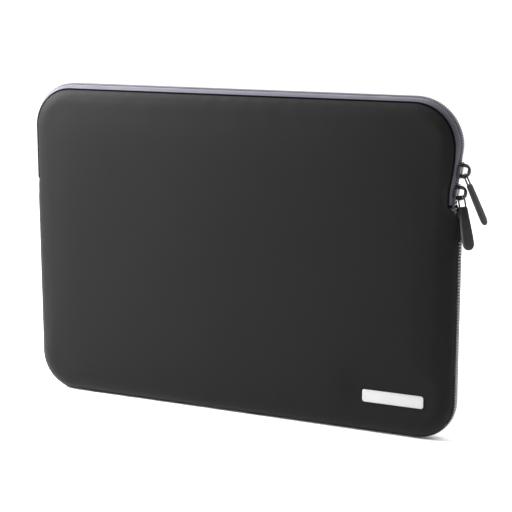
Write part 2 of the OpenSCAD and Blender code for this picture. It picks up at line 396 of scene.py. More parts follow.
def point_fields(side):
    """Each point's position and normal, for the shapes added to the panel."""
    ob = layer_mesh("scratch", arc_profile(ER, GUSSET, SEAM, 1.0), ER, side)
    co = np.array([v.co for v in ob.data.vertices]) / MM
    no = np.array([v.normal for v in ob.data.vertices])
    me = ob.data
    bpy.data.objects.remove(ob)
    bpy.data.meshes.remove(me)
    return co, no


def crown(x, z):
    a = np.clip(1 - (x / (HW - 6)) ** 2, 0, 1)
    b = np.clip(1 - ((z - H / 2) / (H / 2 - 6)) ** 2, 0, 1)
    return (a ** 0.8) * (b ** 0.8)


def value_noise(x, z, size, seed):
    rng = np.random.RandomState(seed)
    g = rng.uniform(-1, 1, (64, 64))
    fx, fz = (x / size) % 62, (z / size) % 62
    ix, iz = np.floor(fx).astype(int), np.floor(fz).astype(int)
    tx, tz = smooth(fx - ix), smooth(fz - iz)
    return (g[ix, iz] * (1 - tx) * (1 - tz) + g[ix + 1, iz] * tx * (1 - tz)
            + g[ix, iz + 1] * (1 - tx) * tz + g[ix + 1, iz + 1] * tx * tz)


def simulate(side, cap):
    """The filled-out panel: the flat cut held at its seams, blown out from inside, with a cap on how far it moves."""
    ob = layer_mesh("sim", arc_profile(ER - 0.6, GUSSET, SEAM, 1.0), ER - 0.6, side)
    rest = np.array([v.co for v in ob.data.vertices])
    # the field starts slightly wavy, as cut fabric is
    x, z = rest[:, 0] * 1000, rest[:, 2] * 1000
    wave = 0.2 * value_noise(x + 400, z + 60, 55, 7 + side) * crown(x, z)
    start = rest.copy()
    start[:, 1] += -side * wave * MM
    ob.data.vertices.foreach_set("co", start.astype(np.float32).ravel())
    ob.data.update()
    pin = ob.vertex_groups.new(name="pin")
    n = N_AROUND
    for j, w in ((0, 1.0), (1, 1.0), (2, 0.7), (3, 0.35)):
        pin.add(list(range(j * n, (j + 1) * n)), w, "REPLACE")
    cl = ob.modifiers.new("cloth", "CLOTH")
    st = cl.settings
    st.quality = 6
    st.mass = 0.25
    st.tension_stiffness = 24
    st.compression_stiffness = 14
    st.shear_stiffness = 8
    st.bending_stiffness = 6.0
    st.tension_damping = 12
    st.compression_damping = 12
    st.shear_damping = 8
    st.bending_damping = 1.0
    st.air_damping = 3
    st.vertex_group_mass = "pin"
    st.use_pressure = True
    st.uniform_pressure_force = 4.0
    st.effector_weights.gravity = 0
    st.shrink_min = -0.0015
    cl.collision_settings.use_collision = False
    cl.point_cache.frame_start = 1
    cl.point_cache.frame_end = 20
    sc = bpy.context.scene
    for fr in range(1, 21):
        sc.frame_set(fr)
    dg = bpy.context.evaluated_depsgraph_get()
    me = ob.evaluated_get(dg).to_mesh()
    now = np.array([v.co for v in me.vertices])
    ob.evaluated_get(dg).to_mesh_clear()
    sc.frame_set(1)
    d = (now - rest) * 1000
    me0 = ob.data
    ed = np.zeros(2 * len(me0.edges), int)
    me0.edges.foreach_get("vertices", ed)
    ed = ed.reshape(-1, 2)
    bpy.data.objects.remove(ob)
    bpy.data.meshes.remove(me0)
    # foam behind the cloth evens out its short waves
    for _ in range(5):
        acc = np.zeros_like(d)
        cnt = np.zeros(len(d))
        np.add.at(acc, ed[:, 0], d[ed[:, 1]])
        np.add.at(acc, ed[:, 1], d[ed[:, 0]])
        np.add.at(cnt, ed.ravel(), 1)
        d = 0.4 * d + 0.6 * acc / cnt[:, None]
    size = np.linalg.norm(d, axis=1)
    print(f"cloth side {side}: moved up to {size.max():.2f} mm, mean {size.mean():.2f}")
    # soft cap
    lim = cap * np.tanh(size / cap)
    d = d * (lim / np.maximum(size, 1e-6))[:, None]
    return d


def shape_field(side):
    """How far each point of a panel stands off its CAD surface."""
    co, no = point_fields(side)
    x, z = co[:, 0], co[:, 2]
    d = simulate(side, 2.6)
    # gentle unevenness of the foam behind the cloth
    d[:, 1] += -side * crown(x, z) ** 0.5 * (0.22 * value_noise(x + 300, z + 20, 55, 3 + side) + 0.08 * value_noise(x + 300, z + 20, 21, 5 + side))
    # small gathers along the sewn lip
    n = N_AROUND
    rng = np.random.RandomState(11 + side)
    amp = 0.10 + 0.08 * np.interp(S_AROUND, np.linspace(0, PERIM, 40), rng.uniform(-1, 1, 40))
    wave = np.cos(2 * math.pi * S_AROUND / 13.7 + 2.0 * np.interp(S_AROUND, np.linspace(0, PERIM, 25), rng.uniform(-1, 1, 25)))
    for j in range(1, 6):
        fade = (0.5, 1.0, 0.8, 0.45, 0.2)[j - 1]
        d[j * n:(j + 1) * n] += no[j * n:(j + 1) * n] * (amp * wave * fade)[:, None]
    d[:n] = 0
    if side > 0:
        # the badge clamps the cloth flat and presses a shallow dip round itself
        lo, hi = box("badge_plate")
        cx, cz = (lo[0] + hi[0]) / 2, (lo[2] + hi[2]) / 2
        hx, hz = (hi[0] - lo[0]) / 2, (hi[2] - lo[2]) / 2
        dist = np.hypot(np.maximum(np.abs(x - cx) - hx, 0), np.maximum(np.abs(z - cz) - hz, 0))
        keep = smooth((dist - 3.5) / 20)
        d *= keep[:, None]
    return d


SHELL_PROF = arc_profile(ER, GUSSET, SEAM, 1.0)
FOAM_R = ER - SHELL_T - GAP
LIN_R = FOAM_R - FOAM_T - GAP - LINING_T
FOAM_PROF = limited_profile(FOAM_R, 0.25, -10.2)
LIN_PROF = lining_profile(LIN_R, 0.12)


def thick(ob, t, levels=1, offset=-1.0):
    m = ob.modifiers.new("thick", "SOLIDIFY")
    m.thickness = t * MM
    m.offset = offset
    m.use_even_offset = False
    s = ob.modifiers.new("sub", "SUBSURF")
    s.levels = levels
    s.render_levels = levels
    return bake_modifiers(ob)


# ---------------------------------------------------------------- materials
def mat(name):
    m = bpy.data.materials.new(name)
    m.use_nodes = True
    nt = m.node_tree
    return m, nt, nt.nodes["Principled BSDF"]


def node(nt, kind, **kw):
    n = nt.nodes.new(kind)
    for k, v in kw.items():
        if k.startswith("i_"):
            n.inputs[k[2:].replace("_", " ")].default_value = v
        else:
            setattr(n, k, v)
    return n


def math_node(nt, op, a, b=None):
    n = nt.nodes.new("ShaderNodeMath")
    n.operation = op
    for i, x in enumerate((a, b)):
        if x is None:
            continue
        if isinstance(x, (int, float)):
            n.inputs[i].default_value = x
        else:
            nt.links.new(x, n.inputs[i])
    return n.outputs[0]


def ramp(nt, fac, stops):
    r = nt.nodes.new("ShaderNodeValToRGB")
    el = r.color_ramp.elements
    while len(el) < len(stops):
        el.new(0.5)
    for e, (p, c) in zip(el, stops):
        e.position = p
        e.color = (*c, 1) if len(c) == 3 else c
    nt.links.new(fac, r.inputs[0])
    return r.outputs[0]


def mix_rgb(nt, fac, a, b, blend="MIX"):
    n = nt.nodes.new("ShaderNodeMix")
    n.data_type = "RGBA"
    n.blend_type = blend
    for sock, x in ((n.inputs[0], fac), (n.inputs[6], a), (n.inputs[7], b)):
        if isinstance(x, (int, float)):
            sock.default_value = x
        elif isinstance(x, tuple):
            sock.default_value = (*x, 1)
        else:
            nt.links.new(x, sock)
    return n.outputs[2]


def coords(nt, kind="Object", scale=None):
    tc = nt.nodes.new("ShaderNodeTexCoord")
    out = tc.outputs[kind]
    if scale is not None:
        mp = nt.nodes.new("ShaderNodeMapping")
        mp.inputs["Scale"].default_value = scale
        nt.links.new(out, mp.inputs["Vector"])
        out = mp.outputs[0]
    return out


def noise(nt, vec, scale, detail=2.0, rough=0.5):
    n = node(nt, "ShaderNodeTexNoise", i_Scale=scale, i_Detail=detail, i_Roughness=rough)
    nt.links.new(vec, n.inputs["Vector"])
    return n.outputs["Fac"]


def wave(nt, vec, scale, direction="X", distortion=0.0):
    n = node(nt, "ShaderNodeTexWave", i_Scale=scale, i_Distortion=distortion)
    n.wave_type = "BANDS"
    n.bands_direction = direction
    nt.links.new(vec, n.inputs["Vector"])
    return n.outputs["Fac"]


def bump(nt, bsdf, height, strength, distance, before=None):
    b = node(nt, "ShaderNodeBump", i_Strength=strength, i_Distance=distance)
    nt.links.new(height, b.inputs["Height"])
    if before is not None:
        nt.links.new(before, b.inputs["Normal"])
    if bsdf is not None:
        nt.links.new(b.outputs[0], bsdf.inputs["Normal"])
    return b.outputs[0]


def rough_from(nt, bsdf, fac, lo, hi):
    mr = node(nt, "ShaderNodeMapRange")
    mr.inputs["To Min"].default_value = lo
    mr.inputs["To Max"].default_value = hi
    nt.links.new(fac, mr.inputs["Value"])
    nt.links.new(mr.outputs[0], bsdf.inputs["Roughness"])


def knit_material(name, dark, light, worn, rough=(0.62, 0.8), sheen=0.25, spec=0.25, pitch=0.00075):
    """Fine jersey over foam: small ribs both ways, fibre noise, faint mottling, and a paler rolled edge that is partly
    painted highlight, for light caught on the rounded edge, and partly rubbing wear.
    """
    m, nt, b = mat(name)
    v = coords(nt)
    sc = 0.314 / pitch
    wx = wave(nt, v, sc, "X", 0.6)
    wz = wave(nt, v, sc * 0.8, "Z", 0.6)
    knit = math_node(nt, "MULTIPLY", wx, wz)
    fib = noise(nt, v, 2600, 2)
    big = noise(nt, v, 11, 3, 0.55)
    mid = noise(nt, v, 160, 2)
    base = mix_rgb(nt, math_node(nt, "ADD", math_node(nt, "MULTIPLY", big, 0.6), math_node(nt, "MULTIPLY", mid, 0.4)), dark, light)
    base = mix_rgb(nt, math_node(nt, "MULTIPLY", knit, 0.45), base, light)
    at = node(nt, "ShaderNodeAttribute", attribute_name="edge")
    # painted highlight: the rolled edge (edge attribute) is mixed towards the worn colour, partly for light caught on
    # the rounded edge, partly rubbing wear, mottled by noise
    edge_highlight_and_rub = math_node(nt, "MULTIPLY", math_node(nt, "POWER", at.outputs["Fac"], 2.0), math_node(nt, "ADD", 0.35, math_node(nt, "MULTIPLY", mid, 0.7)))
    base = mix_rgb(nt, edge_highlight_and_rub, base, worn)
    nt.links.new(base, b.inputs["Base Color"])
    rough_from(nt, b, math_node(nt, "ADD", math_node(nt, "MULTIPLY", big, 0.5), math_node(nt, "MULTIPLY", fib, 0.5)), *rough)
    h = math_node(nt, "ADD", math_node(nt, "MULTIPLY", knit, 0.8), math_node(nt, "MULTIPLY", fib, 0.5))
    n1 = bump(nt, None, mid, 0.08, 0.0006)
    bump(nt, b, h, 0.45, 0.00012, n1)
    b.inputs["Specular IOR Level"].default_value = spec
    b.inputs["Sheen Weight"].default_value = sheen
    b.inputs["Sheen Roughness"].default_value = 0.45
    b.inputs["Sheen Tint"].default_value = (0.8, 0.8, 0.84, 1)
    return m


def tape_material():
    """Woven zip tape: fine ribs along it and cross threads, a violet grey."""
    m, nt, b = mat("tape_weave")
    at = node(nt, "ShaderNodeAttribute", attribute_name="along")
    sep = nt.nodes.new("ShaderNodeSeparateXYZ")
    nt.links.new(at.outputs["Vector"], sep.inputs[0])
    along = math_node(nt, "SINE", math_node(nt, "MULTIPLY", sep.outputs[0], 2 * math.pi / 0.0024))
    across = math_node(nt, "SINE", math_node(nt, "MULTIPLY", sep.outputs[1], 2 * math.pi / 0.00085))
    v = coords(nt)
    fib = noise(nt, v, 2400, 2)
    big = noise(nt, v, 60, 3)
    weave = math_node(nt, "MULTIPLY", along, across)
    f = math_node(nt, "ADD", math_node(nt, "MULTIPLY", weave, 0.34), math_node(nt, "ADD", math_node(nt, "MULTIPLY", fib, 0.5), math_node(nt, "MULTIPLY", big, 0.35)))
    base = ramp(nt, f, [(0.15, (0.030, 0.0285, 0.040)), (0.5, (0.064, 0.0612, 0.080)), (0.85, (0.125, 0.1215, 0.147))])
    nt.links.new(base, b.inputs["Base Color"])
    rough_from(nt, b, fib, 0.55, 0.8)
    h = math_node(nt, "ADD", math_node(nt, "MULTIPLY", weave, 0.7), math_node(nt, "MULTIPLY", fib, 0.6))
    bump(nt, b, h, 0.8, 0.00022)
    b.inputs["Specular IOR Level"].default_value = 0.3
    b.inputs["Sheen Weight"].default_value = 0.1
    b.inputs["Sheen Roughness"].default_value = 0.4
    return m


def coil_material():
    m, nt, b = mat("coil_nylon")
    v = coords(nt)
    a = noise(nt, v, 900, 2)
    big = noise(nt, v, 40, 2)
    base = ramp(nt, math_node(nt, "ADD", math_node(nt, "MULTIPLY", a, 0.5), math_node(nt, "MULTIPLY", big, 0.5)),
                [(0.3, (0.125, 0.121, 0.150)), (0.7, (0.215, 0.209, 0.245))])
    nt.links.new(base, b.inputs["Base Color"])
    rough_from(nt, b, a, 0.3, 0.48)
    bump(nt, b, a, 0.15, 0.00006)
    b.inputs["Specular IOR Level"].default_value = 0.45
    return m


def thread_material(name, lo, hi, rough=0.6, spec=0.4, sheen=0.2):
    m, nt, b = mat(name)
    v = coords(nt)
    a = noise(nt, v, 3200, 2)
    big = noise(nt, v, 120, 2)
    base = ramp(nt, math_node(nt, "ADD", math_node(nt, "MULTIPLY", a, 0.6), math_node(nt, "MULTIPLY", big, 0.4)), [(0.3, lo), (0.72, hi)])
    nt.links.new(base, b.inputs["Base Color"])
    rough_from(nt, b, a, rough - 0.1, rough + 0.15)
    bump(nt, b, a, 0.5, 0.00008)
    b.inputs["Specular IOR Level"].default_value = spec
    b.inputs["Sheen Weight"].default_value = sheen
    return m


def plush_material(name, lo, hi):
    m, nt, b = mat(name)
    v = coords(nt)
    a = noise(nt, v, 1500, 4, 0.7)
    c = noise(nt, v, 260, 3, 0.6)
    big = noise(nt, v, 18, 3)
    f = math_node(nt, "ADD", math_node(nt, "MULTIPLY", a, 0.5), math_node(nt, "ADD", math_node(nt, "MULTIPLY", c, 0.3), math_node(nt, "MULTIPLY", big, 0.3)))
    base = ramp(nt, f, [(0.35, lo), (0.75, hi)])
    nt.links.new(base, b.inputs["Base Color"])
    b.inputs["Roughness"].default_value = 0.95
    n1 = bump(nt, None, c, 0.4, 0.0006)
    bump(nt, b, a, 0.7, 0.0003, n1)
    b.inputs["Specular IOR Level"].default_value = 0.1
    b.inputs["Sheen Weight"].default_value = 0.6
    b.inputs["Sheen Roughness"].default_value = 0.35
    return m


def foam_material():
    m, nt, b = mat("foam_cells")
    v = coords(nt)
    vo = node(nt, "ShaderNodeTexVoronoi", i_Scale=1800.0)
    nt.links.new(v, vo.inputs["Vector"])
    big = noise(nt, v, 90, 3)
    base = ramp(nt, math_node(nt, "ADD", math_node(nt, "MULTIPLY", vo.outputs["Distance"], 0.8), math_node(nt, "MULTIPLY", big, 0.4)),
                [(0.2, (0.20, 0.20, 0.19)), (0.8, (0.42, 0.42, 0.40))])
    nt.links.new(base, b.inputs["Base Color"])
    b.inputs["Roughness"].default_value = 0.9
    bump(nt, b, vo.outputs["Distance"], 0.6, 0.0003)
    return m


def lacquer_material(name, metal=0.0, lo=0.14, hi=0.28, base=0.004, coat=0.0):
    """Gloss black lacquer over die-cast metal: faint orange peel, handling marks, worn edges a little paler."""
    m, nt, b = mat(name)
    v = coords(nt)
    peel = noise(nt, v, 900, 2)
    marks = noise(nt, coords(nt, scale=(300, 300, 2600)), 1.0, 3, 0.7)
    geo = nt.nodes.new("ShaderNodeNewGeometry")
    edge = ramp(nt, geo.outputs["Pointiness"], [(0.52, (0, 0, 0)), (0.62, (1, 1, 1))])
    worn = math_node(nt, "MULTIPLY", edge, math_node(nt, "MULTIPLY", marks, 0.5))
    col = mix_rgb(nt, worn, (base, base, base * 1.05), (0.10, 0.10, 0.105))
    nt.links.new(col, b.inputs["Base Color"])
    rough_from(nt, b, marks, lo, hi)
    bump(nt, b, peel, 0.06, 0.0001)
    b.inputs["Metallic"].default_value = metal
    b.inputs["Specular IOR Level"].default_value = 0.5
    b.inputs["Coat Weight"].default_value = coat
    b.inputs["Coat Roughness"].default_value = 0.08
    return m


def rubber_material():
    """Matt moulded rubber: fine grain, sharp edges a little paler."""
    m, nt, b = mat("grip_rubber")
    v = coords(nt)
    grain = noise(nt, v, 2200, 3, 0.6)
    big = noise(nt, v, 140, 3)
    geo = nt.nodes.new("ShaderNodeNewGeometry")
    edge = ramp(nt, geo.outputs["Pointiness"], [(0.50, (0, 0, 0)), (0.60, (1, 1, 1))])
    base = ramp(nt, math_node(nt, "ADD", math_node(nt, "MULTIPLY", grain, 0.4), math_node(nt, "MULTIPLY", big, 0.6)),
                [(0.3, (0.011, 0.011, 0.012)), (0.75, (0.026, 0.026, 0.028))])
    base = mix_rgb(nt, math_node(nt, "MULTIPLY", edge, 0.35), base, (0.055, 0.055, 0.06))
    nt.links.new(base, b.inputs["Base Color"])
    rough_from(nt, b, grain, 0.52, 0.72)
    bump(nt, b, grain, 0.25, 0.0001)
    b.inputs["Specular IOR Level"].default_value = 0.22
    return m


def badge_material():
    """Brushed bright metal."""
    m, nt, b = mat("badge_brushed")
    v = coords(nt, scale=(60, 60, 6500))
    br = noise(nt, v, 1.0, 3, 0.6)
    big = noise(nt, coords(nt), 70, 2)
    base = ramp(nt, math_node(nt, "ADD", math_node(nt, "MULTIPLY", br, 0.6), math_node(nt, "MULTIPLY", big, 0.4)),
                [(0.25, (0.30, 0.30, 0.305)), (0.75, (0.40, 0.40, 0.406))])
    nt.links.new(base, b.inputs["Base Color"])
    rough_from(nt, b, br, 0.34, 0.5)
    bump(nt, b, br, 0.18, 0.00004)
    b.inputs["Metallic"].default_value = 0.4
    return m


# in the knit materials the third colour is the paler rolled edge: partly a painted highlight of the light caught there,
# partly rubbing wear
M_SHELL = knit_material("shell_knit", (0.0052, 0.0052, 0.0052), (0.0078, 0.0078, 0.0078), (0.0135, 0.0135, 0.0137), rough=(0.5, 0.62), sheen=0.005, spec=0.05)
M_SEAM = knit_material("seam_band_knit", (0.0040, 0.0040, 0.0042), (0.0070, 0.0070, 0.0073), (0.008, 0.008, 0.0082), sheen=0.01, spec=0.06)
M_TAPE = tape_material()
M_COIL = coil_material()
M_THREAD = thread_material("seam_thread", (0.38, 0.38, 0.385), (0.68, 0.68, 0.69))
M_TACK = thread_material("tack_thread", (0.16, 0.16, 0.17), (0.36, 0.36, 0.38))
M_SEWN = thread_material("coil_thread", (0.17, 0.165, 0.20), (0.33, 0.32, 0.37))
M_CORE = thread_material("coil_core_cord", (0.012, 0.012, 0.016), (0.03, 0.03, 0.038), 0.7, 0.1, 0.0)
# painted shade: this unlit near-black, darker than real thread, colours the cord laid in the seam between panel lip and
# tape as the shadow of that recess; the stitches there and the side seam's needle rows take it too
M_DITCH = thread_material("dark_thread_and_seam_shade", (0.0006, 0.0006, 0.0007), (0.0016, 0.0016, 0.0018), 0.75, 0.02, 0.0)
M_PLUSH = plush_material("plush_lining", (0.035, 0.035, 0.038), (0.085, 0.085, 0.092))
M_BIND = knit_material("binding_weave", (0.012, 0.012, 0.014), (0.026, 0.026, 0.029), (0.03, 0.03, 0.033), pitch=0.0006)
M_FOAM = foam_material()
M_SLIDER = lacquer_material("slider_lacquer")
M_WIRE = lacquer_material("wire_lacquer", lo=0.16, hi=0.3)
M_RUBBER = rubber_material()
M_BADGE = badge_material()
M_STOP = lacquer_material("stop_metal", metal=0.7, lo=0.25, hi=0.4, base=0.05, coat=0.0)


def paint(ob, *mats):
    me = ob.data
    index = np.zeros(len(me.polygons), np.int32)
    me.polygons.foreach_get("material_index", index)
    me.materials.clear()
    for m in mats:
        me.materials.append(m)
    me.polygons.foreach_set("material_index", np.minimum(index, len(mats) - 1))
    me.update()
    return ob


# ---------------------------------------------------------------- padded panels
FIELD = {1: shape_field(1), -1: shape_field(-1)}


def settle(ob, side):
    if side > 0:
        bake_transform(ob)
    else:
        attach(ob, "sleeve")


def padded_layers(side, word):
    low = [f"{word}_panel_lower", f"{word}_panel_flap"] if side > 0 else ["back_panel"]
    foam = [f"{word}_foam_lower", f"{word}_foam_flap"] if side > 0 else ["back_foam"]
    lin = [f"{word}_lining_lower", f"{word}_lining_flap"] if side > 0 else ["back_lining"]
    f = FIELD[side]

    ob = layer_mesh(f"{word}_shell", SHELL_PROF, ER, side, f, 1.0)
    thick(ob, SHELL_T, 1)
    paint(ob, M_SHELL)
    settle(ob, side)
    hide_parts(*low)

    ob = layer_mesh(f"{word}_foam_core", FOAM_PROF, FOAM_R, side, f, 0.98)
    thick(ob, FOAM_T - 0.1, 0)
    paint(ob, M_FOAM)
    settle(ob, side)
    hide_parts(*foam)

    ob = layer_mesh(f"{word}_plush_lining", LIN_PROF, LIN_R, side, f, 0.96)
    thick(ob, LINING_T - 0.12, 1, offset=1.0)
    paint(ob, M_PLUSH)
    settle(ob, side)
    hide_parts(*lin)


padded_layers(1, "front")
padded_layers(-1, "back")


# ---------------------------------------------------------------- zip tapes
def tape(side, name, nodes):
    s = np.arange(-CH_L + 0.5, CH_L - 0.49, 2.0)
    p, n, t = chain(s)
    low = CHAIN_L - (CH_L - np.abs(s))             # distance below the fold line
    k = smooth((26 - low) / 30)                    # 1 where the tape arches over the edge
    end = smooth((low - 34) / 9)
    arch_o = np.array([(-0.42, 0.95), (-0.40, 2.0), (-0.40, 3.2), (-0.42, 4.2), (-0.62, 5.1), (-1.15, 5.9), (-2.05, 6.55), (-3.3, 7.0), (-4.9, 7.3)])
    wide_o = np.array([(-0.42, 0.95), (-0.40, 2.0), (-0.40, 3.2), (-0.44, 4.4), (-0.6, 5.5), (-0.95, 6.6), (-1.5, 7.6), (-2.4, 8.4), (-3.6, 8.95)])
    flat_o = np.array([(-0.42, 0.95), (-0.40, 1.8), (-0.40, 2.7), (-0.40, 3.6), (-0.40, 4.4), (-0.42, 5.2), (-0.46, 6.0), (-0.52, 6.8), (-0.60, 7.45)])
    def inner(o):
        d = np.gradient(o, axis=0)
        d /= np.linalg.norm(d, axis=1)[:, None]
        return o + 0.52 * np.stack([-np.abs(d[:, 1]), -np.abs(d[:, 0])], 1) * [1, 1]
    arch = np.concatenate([arch_o, inner(arch_o)[::-1]])
    flat = np.concatenate([flat_o, inner(flat_o)[::-1]])
    wide = np.concatenate([wide_o, inner(wide_o)[::-1]])
    lower = wide[None] * ((1 - end) * (s > 0))[:, None, None] + flat[None] * (1 - (1 - end) * (s > 0))[:, None, None]
    prof = arch[None] * k[:, None, None] + lower * (1 - k)[:, None, None]
    rings = np.zeros((len(s), len(arch), 3))
    rings[..., 0] = p[:, None, 0] + n[:, None, 0] * prof[..., 0]
    rings[..., 2] = p[:, None, 1] + n[:, None, 1] * prof[..., 0]
    rings[..., 1] = -side * prof[..., 1]
    v, f = tube_rings(rings)
    uv = np.zeros((len(v), 3))
    uv[:, 0] = np.repeat(s, len(arch))
    uv[:, 1] = prof[..., 1].ravel()
    b = Build()
    b.add(v, f, uv)
    # the thread that sews the coil down
    st = np.arange(-CH_L + 2, CH_L - 2, 2.1)
    for a in st:
        q = a + np.array([0.1, 0.35, 0.9, 1.4, 1.65])
        pp, nn, tt = chain(q)
        h = np.array([-0.42, -0.27, -0.2, -0.27, -0.42])
        pts = np.stack([pp[:, 0] + nn[:, 0] * h, np.full(5, -side * 3.62), pp[:, 1] + nn[:, 1] * h], 1)
        vv, ff = tube(pts, 0.17, 5)
        b.add(vv, ff, mat=1)
    # a near-black cord where the panel's edge turns down into the seam between its lip and the tape, painted shade for
    # that recess, and the stitches over it
    z0 = ZIP_END + 14.0
    s0 = S_RIGHT_ZIP + (z0 - ZIP_END)
    q = np.arange(s0 - 2, PERIM - s0 + 2, 2.0)
    pp, nn = outline(q)
    wv = GUSSET + 2.0 * smooth((FOLD - 6 - pp[:, 1]) / 30.0) * (pp[:, 0] > 0) - 0.22
    uu = CU + np.sqrt(ER ** 2 - (wv - CV) ** 2) + 0.12
    pts = np.stack([pp[:, 0] + nn[:, 0] * uu, -side * wv, pp[:, 1] + nn[:, 1] * uu], 1)
    vv, ff = tube(pts, 0.38, 8, up=(0.2, 1, 0.1))
    b.add(vv, ff, mat=2)
    for a in np.arange(s0, PERIM - s0, 2.7):
        q = a + np.array([0.0, 0.3, 0.9, 1.5, 1.8])
        pp, nn = outline(q)
        wv = GUSSET + 2.0 * smooth((FOLD - 6 - pp[:, 1]) / 30.0) * (pp[:, 0] > 0) - 0.12
        uu = CU + np.sqrt(ER ** 2 - (wv - CV) ** 2) + 0.2 + np.array([-0.5, 0.0, 0.1, 0.0, -0.5])
        pts = np.stack([pp[:, 0] + nn[:, 0] * uu, -side * wv, pp[:, 1] + nn[:, 1] * uu], 1)
        vv, ff = tube(pts, 0.52, 8, up=(0.2, 1, 0.1))
        b.add(vv, ff, mat=2)
    ob = b.make(name)
    paint(ob, M_TAPE, M_SEWN, M_DITCH)
    settle(ob, side)
    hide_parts(*nodes)


tape(1, "front_zip_tape", ["zip_tape_front_lower", "zip_tape_front_flap"])
tape(-1, "back_zip_tape", ["zip_tape_back"])


# ---------------------------------------------------------------- coil teeth
def coil(side, name, nodes):
    pitch = 1.8
    half = 0.5 * pitch if side < 0 else 0.0
    s = np.arange(-CH_L + 0.9 + half, CH_L - 0.9, pitch)
    b = Build()
    shape = np.array([(-0.12, 2.92), (0.32, 3.0), (0.66, 2.72), (0.72, 2.0), (0.70, 1.1), (0.62, 0.45), (0.30, 0.12), (-0.08, 0.22)])
    lean = np.array([0, 0, 0.05, 0.09, 0.12, 0.14, 0.14, 0.12])
    for a in s:
        below = CH_L - abs(a)
        l = CHAIN_L - below                        # distance below the fold line
        parted = (a > 0) * float(smooth((l - 8.0) / 2.5) * (1 - smooth((l - 30.0) / 2.0)))
        v = shape[:, 1].copy()
        v = np.maximum(v, v * (1 - parted) + parted * (0.95 + 0.62 * v))
        q = a + lean
        p, n, t = chain(q)
        pts = np.stack([p[:, 0] + n[:, 0] * shape[:, 0], -side * v, p[:, 1] + n[:, 1] * shape[:, 0]], 1)
        up = np.stack([t[:, 0], np.zeros(len(q)), t[:, 1]], 1)
        vv, ff = tube(pts, [0.22, 0.31, 0.37, 0.37, 0.37, 0.35, 0.31, 0.18], 8, up=up, squash=[1.25, 1.3, 1.3, 1.3, 1.25, 1.1, 1.0, 1.0])
        b.add(vv, ff)
    # the core cord that the coil is wound round
    q = np.arange(-CH_L + 0.9, CH_L - 0.9, 2.0)
    p, n, t = chain(q)
    pts = np.stack([p[:, 0] + n[:, 0] * 0.12, np.full(len(q), -side * 2.1), p[:, 1] + n[:, 1] * 0.12], 1)
    vv, ff = tube(pts, 0.33, 8)
    b.add(vv, ff, mat=1)
    ob = b.make(name)
    paint(ob, M_COIL, M_CORE)
    settle(ob, side)
    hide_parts(*nodes)


coil(1, "front_zip_coil", ["zip_coil_front_lower", "zip_coil_front_flap"])
coil(-1, "back_zip_coil", ["zip_coil_back"])


# ---------------------------------------------------------------- binding over the raw edges inside
def binding(side, name, nodes):
    z0 = FOLD + 0.2
    s0 = S_RIGHT_ZIP + (z0 - ZIP_END)
    s = np.arange(s0, PERIM - s0 + 0.01, 2.5)
    p, n = outline(s)
    cu, cvv = -8.2, 6.98
    ang = np.linspace(0, 2 * math.pi, 16, endpoint=False)
    ca, sa = np.cos(ang), np.sin(ang)
    du = 1.12 * np.sign(ca) * np.abs(ca) ** 0.6
    dv = 0.62 * np.sign(sa) * np.abs(sa) ** 0.6
    rip = 1 + 0.05 * np.cos(2 * math.pi * s / 5.0)
    rings = np.zeros((len(s), 16, 3))
    uu = cu + du[None] * rip[:, None]
    vv_ = cvv + dv[None] * rip[:, None]
    rings[..., 0] = p[:, None, 0] + n[:, None, 0] * uu
    rings[..., 2] = p[:, None, 1] + n[:, None, 1] * uu
    rings[..., 1] = -side * vv_
    v, f = tube_rings(rings)
    b = Build()
    b.add(v, f)
    for a in np.arange(s0 + 2, PERIM - s0 - 2, 3.0):
        q = a + np.array([0, 0.4, 1.1, 1.8, 2.2])
        pp, nn = outline(q)
        h = cvv - 0.62 - np.array([-0.02, 0.1, 0.14, 0.1, -0.02])
        pts = np.stack([pp[:, 0] + nn[:, 0] * (cu - 0.1), -side * h, pp[:, 1] + nn[:, 1] * (cu - 0.1)], 1)
        vv, ff = tube(pts, 0.14, 5, up=(0.3, 1, 0.2))
        b.add(vv, ff, mat=1)
    ob = b.make(name)
    paint(ob, M_BIND, M_TACK)
    if side > 0:
        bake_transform(ob)
    else:
        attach(ob, "sleeve")
    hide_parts(*nodes)


binding(1, "front_binding", ["binding_front_flap"])
binding(-1, "back_binding", ["binding_back"])


